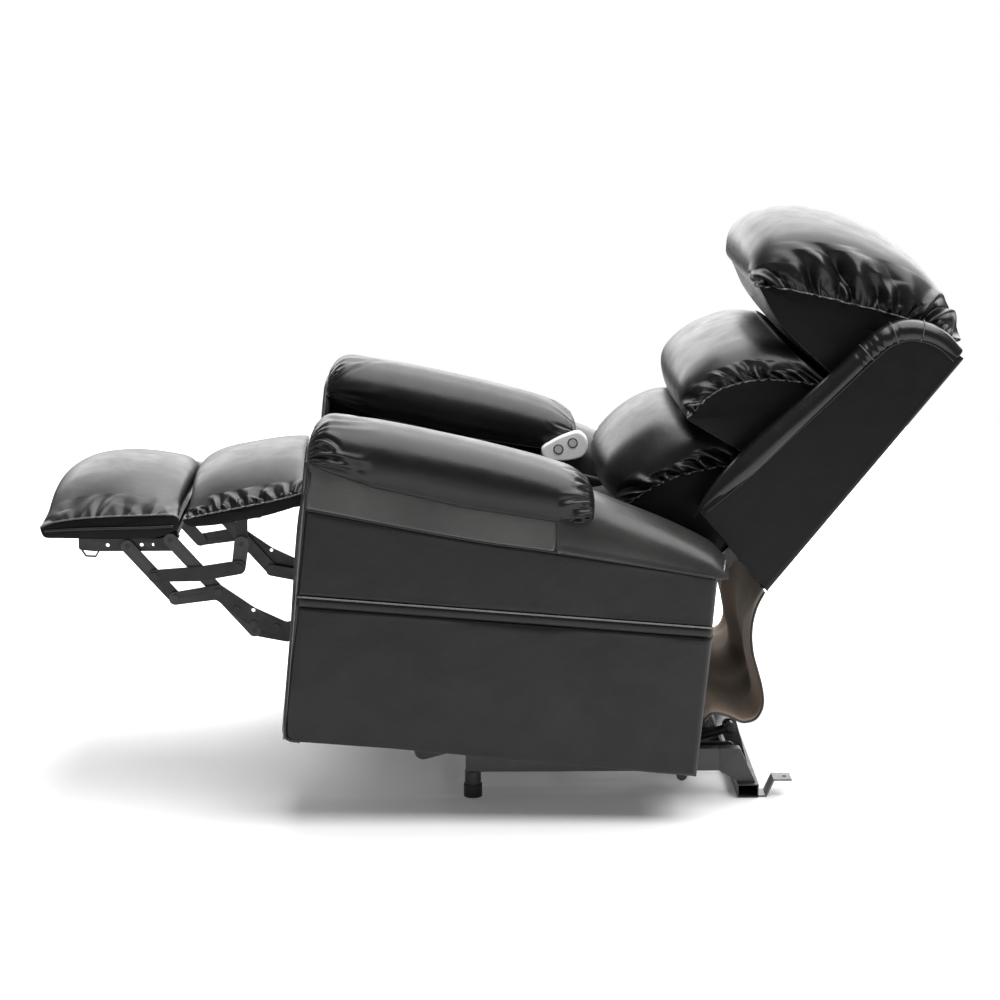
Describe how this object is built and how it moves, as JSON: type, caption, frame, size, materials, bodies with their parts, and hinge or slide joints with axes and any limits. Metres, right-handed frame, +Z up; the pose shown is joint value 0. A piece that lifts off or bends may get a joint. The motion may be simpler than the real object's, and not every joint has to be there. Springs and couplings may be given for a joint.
{
  "type": "lift recliner chair",
  "caption": "Padded lift recliner: two-motor tilt base, reclining back with three pillows, powered legrest linkage and stuffed arms.",
  "frame": {"origin": "on the floor under the middle of the chair as it stands reclined with the legrest out", "axes": "+Z up, +X to the sitter's left, the sitter faces -Y and +Y points to the rear"},
  "size_m": [0.86, 1.7015, 1.1],
  "materials": {
    "upholstery": "satin",
    "flap_cloth": "matte",
    "frame_steel": "satin",
    "link_steel": "satin",
    "base_steel": "satin",
    "strap_steel": "satin",
    "rod_steel": "satin",
    "motor_plastic": "satin",
    "foot_plastic": "matte",
    "board": "matte",
    "webbing": "matte",
    "handset_plastic": "satin",
    "button_plastic": "matte"
  },
  "bodies": {
    "base": {"base_rails": "base_steel", "rear_legs": "base_steel", "foot_posts": "base_steel", "foot_caps": "foot_plastic", "base_front_tube": "base_steel", "base_rear_tube": "base_steel", "lift_towers": "frame_steel", "anchor_straps": "strap_steel"},
    "lift_main": {"lift_main_arms": "frame_steel", "lift_cross_tube": "frame_steel"},
    "lift_rear": {"lift_rear_arms": "frame_steel"},
    "lift_motor_body": {"lift_motor": "motor_plastic"},
    "lift_rod_body": {"lift_rod": "rod_steel"},
    "chair_frame": {"cradle_plates": "frame_steel", "cradle_tubes": "frame_steel", "seat_side_plates": "frame_steel", "pivot_plates": "frame_steel", "seat_cross_rails": "frame_steel", "seat_webbing": "webbing", "seat_cushion": "upholstery", "control_box": "motor_plastic", "legrest_motor": "motor_plastic", "arm_inner_boards": "board", "arm_outer_boards": "board", "arm_end_boards": "board", "side_cover_left": "upholstery", "side_cover_right": "upholstery", "arm_roll_left": "upholstery", "arm_roll_right": "upholstery", "arm_bolster_left": "upholstery", "arm_bolster_right": "upholstery", "handset": "handset_plastic", "rear_flap": "flap_cloth"},
    "backrest": {"back_panel": "board", "back_brackets": "frame_steel", "recline_tube": "frame_steel", "back_shell": "upholstery", "back_wing_left": "upholstery", "back_wing_right": "upholstery", "pillow_lower": "upholstery", "pillow_middle": "upholstery", "pillow_top": "upholstery"},
    "recline_motor_body": {"recline_motor": "motor_plastic"},
    "recline_rod_body": {"recline_rod": "rod_steel"},
    "drive": {"torque_tube": "frame_steel", "drive_links": "link_steel"},
    "control": {"control_links": "link_steel"},
    "rocker": {"rocker_links": "link_steel"},
    "outer": {"outer_links": "link_steel"},
    "middle": {"middle_links": "link_steel"},
    "chaise_upright": {"chaise_links": "link_steel"},
    "footboard": {"footboard_brackets": "link_steel", "footboard_panel": "board", "footboard_pad": "upholstery"},
    "chaise": {"chaise_brackets": "link_steel", "chaise_board": "board", "chaise_pad": "upholstery"},
    "legrest_rod_body": {"legrest_rod": "rod_steel"},
    "raise_key": {"raise_button": "button_plastic"},
    "lower_key": {"lower_button": "button_plastic"}
  },
  "joints": [
    {"name": "lift", "type": "hinge", "parent": "base", "child": "lift_main", "pos_m": [0, 0.2506, 0.12], "axis": [-1, 0, 0], "range_deg": [0, 36.9]},
    {"name": "seat_tilt", "type": "hinge", "parent": "lift_main", "child": "chair_frame", "pos_m": [0, -0.06, 0.1071], "axis": [1, 0, 0], "range_deg": [0, 60.5]},
    {"name": "rear_arm_swing", "type": "hinge", "parent": "base", "child": "lift_rear", "pos_m": [0, 0.43, 0.0837], "axis": [-1, 0, 0], "range_deg": [0, 30.2]},
    {"name": "lift_motor_swing", "type": "hinge", "parent": "base", "child": "lift_motor_body", "pos_m": [0, 0.44, 0.105], "axis": [-1, 0, 0], "range_deg": [0, 3.6]},
    {"name": "lift_rod_slide", "type": "slide", "parent": "lift_motor_body", "child": "lift_rod_body", "axis": [0, -0.9471, -0.321], "range_m": [0, 0.0465]},
    {"name": "recline", "type": "hinge", "parent": "chair_frame", "child": "backrest", "pos_m": [0, 0.31, 0.4], "axis": [1, 0, 0], "range_deg": [0, 25], "deforming": ["rear_flap"]},
    {"name": "recline_motor_swing", "type": "hinge", "parent": "chair_frame", "child": "recline_motor_body", "pos_m": [0, 0.01, 0.432], "axis": [1, 0, 0], "range_deg": [0, 3]},
    {"name": "recline_rod_slide", "type": "slide", "parent": "recline_motor_body", "child": "recline_rod_body", "axis": [0, 0.9131, -0.4076], "range_m": [0, 0.039]},
    {"name": "legrest", "type": "hinge", "parent": "chair_frame", "child": "drive", "pos_m": [0, -0.32772, 0.48444], "axis": [1, 0, 0], "range_deg": [0, 88]},
    {"name": "control_swing", "type": "hinge", "parent": "chair_frame", "child": "control", "pos_m": [0, -0.2616, 0.4092], "axis": [1, 0, 0], "range_deg": [0, 88.5]},
    {"name": "rocker_turn", "type": "hinge", "parent": "drive", "child": "rocker", "pos_m": [0, -0.531, 0.399], "axis": [1, 0, 0], "range_deg": [-88.5, 0]},
    {"name": "outer_turn", "type": "hinge", "parent": "drive", "child": "outer", "pos_m": [0, -0.611, 0.387], "axis": [1, 0, 0], "range_deg": [-88.5, 0]},
    {"name": "middle_turn", "type": "hinge", "parent": "outer", "child": "middle", "pos_m": [0, -0.64928, 0.43056], "axis": [1, 0, 0], "range_deg": [0, 88.5]},
    {"name": "chaise_link_turn", "type": "hinge", "parent": "middle", "child": "chaise_upright", "pos_m": [0, -0.492, 0.446], "axis": [1, 0, 0], "range_deg": [-88.5, 0]},
    {"name": "footboard_turn", "type": "hinge", "parent": "rocker", "child": "footboard", "pos_m": [0, -0.618, 0.498], "axis": [1, 0, 0], "range_deg": [0, 88.5]},
    {"name": "chaise_turn", "type": "hinge", "parent": "chair_frame", "child": "chaise", "pos_m": [0, -0.36, 0.572], "axis": [1, 0, 0], "range_deg": [0, 88.5], "deforming": ["chaise_pad"]},
    {"name": "legrest_rod_slide", "type": "slide", "parent": "chair_frame", "child": "legrest_rod_body", "axis": [0, -0.9994, 0.0342], "range_m": [-0.0778, 0]},
    {"name": "raise_press", "type": "slide", "parent": "chair_frame", "child": "raise_key", "axis": [-1, 0, 0], "range_m": [0, 0.0015], "stiffness_N_per_m": 300, "springref_m": -0.001},
    {"name": "lower_press", "type": "slide", "parent": "chair_frame", "child": "lower_key", "axis": [-1, 0, 0], "range_m": [0, 0.0015], "stiffness_N_per_m": 300, "springref_m": -0.001}
  ],
  "couplings": [
    {"joint": "seat_tilt", "follows": "lift", "ratio": 1.6356},
    {"joint": "rear_arm_swing", "follows": "lift", "ratio": 0.81405},
    {"joint": "lift_motor_swing", "follows": "lift", "ratio": 0.092965},
    {"joint": "lift_rod_slide", "follows": "lift", "m_per_rad": 0.071726},
    {"joint": "recline_motor_swing", "follows": "recline", "ratio": 0.10425},
    {"joint": "recline_rod_slide", "follows": "recline", "m_per_rad": 0.088232},
    {"joint": "control_swing", "follows": "legrest", "ratio": 1},
    {"joint": "rocker_turn", "follows": "legrest", "ratio": -1},
    {"joint": "outer_turn", "follows": "legrest", "ratio": -1},
    {"joint": "middle_turn", "follows": "legrest", "ratio": 1},
    {"joint": "chaise_link_turn", "follows": "legrest", "ratio": -1},
    {"joint": "footboard_turn", "follows": "legrest", "ratio": 1},
    {"joint": "chaise_turn", "follows": "legrest", "ratio": 1},
    {"joint": "legrest_rod_slide", "follows": "legrest", "m_per_rad": -0.050199}
  ]
}
